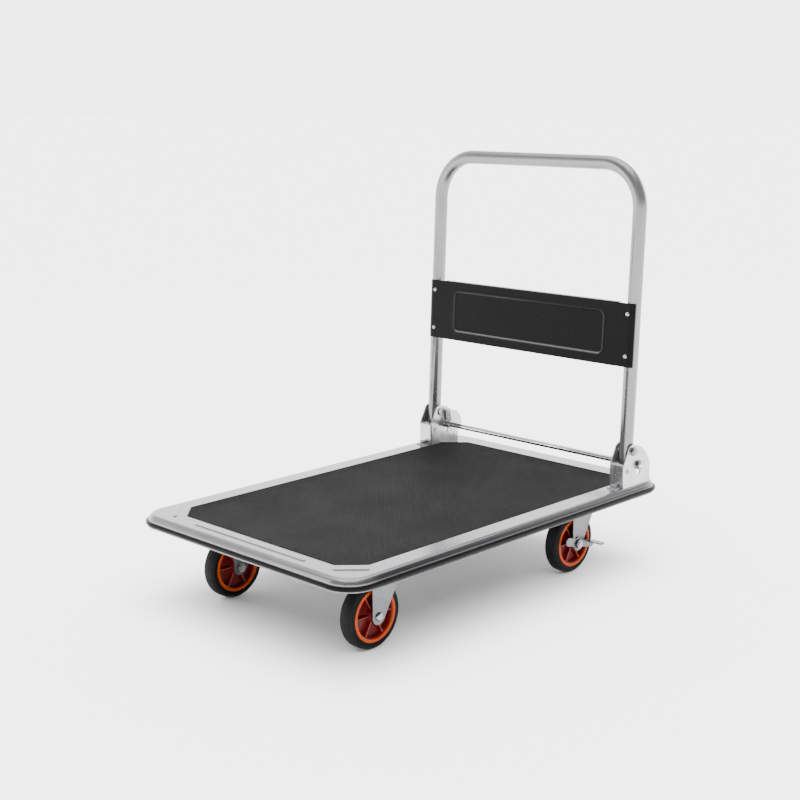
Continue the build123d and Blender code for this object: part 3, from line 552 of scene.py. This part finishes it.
def make_core(position):
    """Dished web, stepped hub and tapered ribs with filleted feet, with a painted highlight along the ribs'
    edges.
    """
    centre = wheel_middle(position)[0]
    low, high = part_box(f"{position}_wheel_core")
    core = (high.x - low.x) / 2
    hub_half = (high.y - low.y) / 2
    bush_low, bush_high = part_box(f"{position}_wheel_bush")
    bore = (bush_high.z - bush_low.z) / 2 + 0.04 * MM
    hub = 14.0 * MM
    side = [
        (core, 1.9 * MM),
        (core - 1.0 * MM, 1.7 * MM),
        (hub + 3.5 * MM, 2.0 * MM),
        (hub + 1.6 * MM, 2.5 * MM),
        (hub + 0.6 * MM, 3.6 * MM),
        (hub + 0.1 * MM, 5.4 * MM),
        (hub - 0.3 * MM, hub_half - 5.0 * MM),
        (hub - 0.8 * MM, hub_half - 4.2 * MM),
        (hub - 2.6 * MM, hub_half - 3.9 * MM),
        (hub - 3.4 * MM, hub_half - 3.2 * MM),
        (hub - 3.7 * MM, hub_half - 0.7 * MM),
        (hub - 4.3 * MM, hub_half),
        (bore + 0.5 * MM, hub_half),
        (bore, hub_half - 0.5 * MM),
    ]
    bm = bmesh.new()
    add_lathe(bm, side + other_side(side), centre, 96)
    # A rib's half width and offset from the wheel's middle plane, from its foot to its edge.
    section = [(2.3, 1.7), (1.55, 2.5), (1.3, 4.0), (1.15, 9.6), (0.9, 10.5), (0.35, 10.95)]
    # Distance from the axle, and how much wider the rib is there.
    flare = [(13.2, 1.9), (14.4, 1.25), (16.0, 1.0), (28.0, 0.96), (38.6, 1.0), (40.2, 1.25), (41.4, 1.8)]
    for turn in range(6):
        angle = 2 * math.pi * turn / 6
        along = Vector((math.cos(angle), 0, math.sin(angle)))
        across = Vector((-math.sin(angle), 0, math.cos(angle)))
        for face_side in (1, -1):
            rows = []
            for reach, wide in flare:
                outline = [(t * wide, w) for t, w in section]
                outline += [(-t * wide, w) for t, w in reversed(section)]
                rows.append([
                    bm.verts.new(
                        centre + along * reach * MM + across * t * MM + Vector((0, face_side * w * MM, 0))
                    )
                    for t, w in outline
                ])
            for first, second in zip(rows, rows[1:]):
                for i in range(len(first) - 1):
                    face = bm.faces.new((first[i], first[i + 1], second[i + 1], second[i]))
                    # The ribs' edges take the painted highlight.
                    face.material_index = 1 if 4 <= i <= 6 else 0
            bm.faces.new(rows[0])
            bm.faces.new(rows[-1])
    new_piece(f"{position}_core_moulded", bm, ["red_plastic"], f"{position}_wheel",
              [f"{position}_wheel_core"], 35, ["red_plastic", "rib_highlight"])


for position in WHEELS:
    make_tyre(position)
    make_rim(position)
    make_core(position)


# Deck mat -------------------------------------------------------------------------------------------

def make_mat():
    """Mat with cut corners, a rounded edge and a slightly raised border."""
    low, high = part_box("deck_mat")
    left_edge = [v.co for v in nodes["deck_mat"].data.vertices if abs(v.co.y - high.y) < 1e-5]
    cut = high.x - max(abs(point.x) for point in left_edge)
    middle = (low + high) / 2
    half_x, half_y = (high.x - low.x) / 2, (high.y - low.y) / 2
    cut_share = 0.586  # how much a cut corner shortens for each unit of inset

    def outline(inset, z):
        x, y = half_x - inset, half_y - inset
        c = cut - inset * cut_share
        points = [(x, y - c), (x - c, y), (c - x, y), (-x, y - c)]
        points += [(-x, c - y), (c - x, -y), (x - c, -y), (x, c - y)]
        return [(middle.x + px, middle.y + py, z) for px, py in points]

    bm = bmesh.new()
    levels = [(0.3, low.z), (0.0, low.z + 0.3 * MM), (0.0, high.z - 0.7 * MM), (0.25, high.z - 0.3 * MM),
              (0.8, high.z - 0.05 * MM), (1.6, high.z), (5.2, high.z), (5.8, high.z - 0.35 * MM)]
    rows = [[bm.verts.new(p) for p in outline(inset * MM, z)] for inset, z in levels]
    for first, second in zip(rows, rows[1:]):
        for i in range(8):
            j = (i + 1) % 8
            bm.faces.new((first[i], first[j], second[j], second[i]))
    bm.faces.new(rows[0])
    bm.faces.new(rows[-1])
    new_piece("deck_mat_ribbed", bm, ["mat_rubber"], "platform", ["deck_mat"], 60)


make_mat()


# Handle panel ---------------------------------------------------------------------------------------

def smooth_step(value, low, high):
    """0 below low, 1 above high, and a soft rise between them."""
    t = min(1.0, max(0.0, (value - low) / (high - low)))
    return t * t * (3 - 2 * t)


def spread(start, end, count):
    """Even steps from start, up to but without end."""
    return [start + (end - start) * i / count for i in range(count)]


def make_panel():
    """Pressed front sheet with a soft-edged recess, ends bent round the posts, and folded flanges."""
    pivot = Vector(next(j for j in frame["joints"] if j["name"] == "handle_fold")["pos_m"])
    lean = math.radians(2.5)
    front = Vector((math.cos(lean), 0, math.sin(lean)))
    up = Vector((-math.sin(lean), 0, math.cos(lean)))
    middle = 232.5  # of the sheet, up from the pivot
    half_height = 63.5
    post = 262.0  # middle of a post, from the cart's middle
    bend = 15.05  # radius of the sheet's middle round a post
    wrap = 52  # degrees that the sheet's ends are bent round the posts
    sheet = 1.5
    fold = 2.2  # radius of the folds along the flanges
    flange_end = 232
    flange_foot = 14.2  # how far the flanges reach back
    recess = (post - 61.0, half_height - 19.5)
    recess_corner = 13.0
    recess_depth = 2.9

    def place(y, s, n):
        """A point across, up and forward of the pivot's middle, in millimetres."""
        return pivot + Vector((0, y * MM, 0)) + up * s * MM + front * n * MM

    def sunk(y, s):
        """How deep the sheet is pressed at a point, and how strong the painted highlight along the recess's
        fold is there.
        """
        dx, dy = abs(y) - (recess[0] - recess_corner), abs(s) - (recess[1] - recess_corner)
        distance = math.hypot(max(dx, 0), max(dy, 0)) + min(max(dx, dy), 0) - recess_corner
        ridge = 0.35 * math.exp(-((distance - 2.6) / 1.6) ** 2)
        # Painted highlight: strongest along the recess's lower fold, which faces up into the light.
        highlight_amount = (0.75 if s < 0 and abs(y) < recess[0] - 6 else 0.22) * math.exp(-((distance + 0.4) / 1.4) ** 2)
        return recess_depth * (1 - smooth_step(distance, -3.4, 0.6)) - ridge, highlight_amount

    across = [("arc", -1, a) for a in spread(wrap, 0, 13)]
    fine = [-post]
    fine += [-y for y in spread(post - 8, recess[0] + 6, 6)]
    fine += [-y for y in spread(recess[0] + 6, recess[0] - 20, 22)]
    fine += [-y for y in spread(recess[0] - 20, 0, 10)]
    line = fine + [0.0] + [-y for y in reversed(fine)]
    columns = across + [("flat", 0, y) for y in line] + [("arc", 1, a) for _, _, a in reversed(across)]
    rows = spread(-half_height, -recess[1] - 6, 6) + spread(-recess[1] - 6, -recess[1] + 20, 22)
    rows += spread(-recess[1] + 20, 0, 3)
    rows = rows + [0.0] + [-s for s in reversed(rows)]

    bm = bmesh.new()
    fold_highlight = bm.verts.layers.float.new("fold_highlight")
    grid = []
    for kind, side, value in columns:
        stack = []
        for s in rows:
            if kind == "arc":
                a = math.radians(value)
                y, n = side * (post + bend * math.sin(a)), bend * math.cos(a)
                # Painted highlight along the ends bent round the posts.
                highlight_amount = 0.8 if value > wrap - 6 else 0.0
            else:
                depth, highlight_amount = sunk(value, s)
                y, n = value, bend - depth
            stack.append(bm.verts.new(place(y, middle + s, n)))
            stack[-1][fold_highlight] = highlight_amount
        grid.append(stack)
    for first, second in zip(grid, grid[1:]):
        for i in range(len(first) - 1):
            bm.faces.new((first[i], first[i + 1], second[i + 1], second[i]))
    for side in (-1, 1):
        section = [
            (half_height - fold + fold * math.sin(turn), bend - fold + fold * math.cos(turn))
            for turn in [math.radians(a) for a in (0, 18, 36, 54, 72, 90)]
        ]
        section += [(half_height, bend - 6), (half_height, bend - flange_foot)]
        strip = []
        for s, n in section:
            strip.append([
                bm.verts.new(place(y, middle + side * s, n))
                for y in spread(-flange_end, flange_end, 24) + [flange_end]
            ])
        for first, second in zip(strip, strip[1:]):
            for i in range(len(first) - 1):
                bm.faces.new((first[i], first[i + 1], second[i + 1], second[i]))
    piece = new_piece("handle_panel_pressed", bm, ["black_paint"], "handle", ["handle_panel"], 50)
    thick = piece.modifiers.new("sheet", "SOLIDIFY")
    thick.thickness = sheet * MM
    thick.offset = 0
    thick.use_even_offset = True
    edge = piece.modifiers.new("edge", "BEVEL")
    edge.width = 0.35 * MM
    edge.segments = 2
    edge.limit_method = "ANGLE"
    edge.angle_limit = math.radians(50)
    edge.harden_normals = True


make_panel()
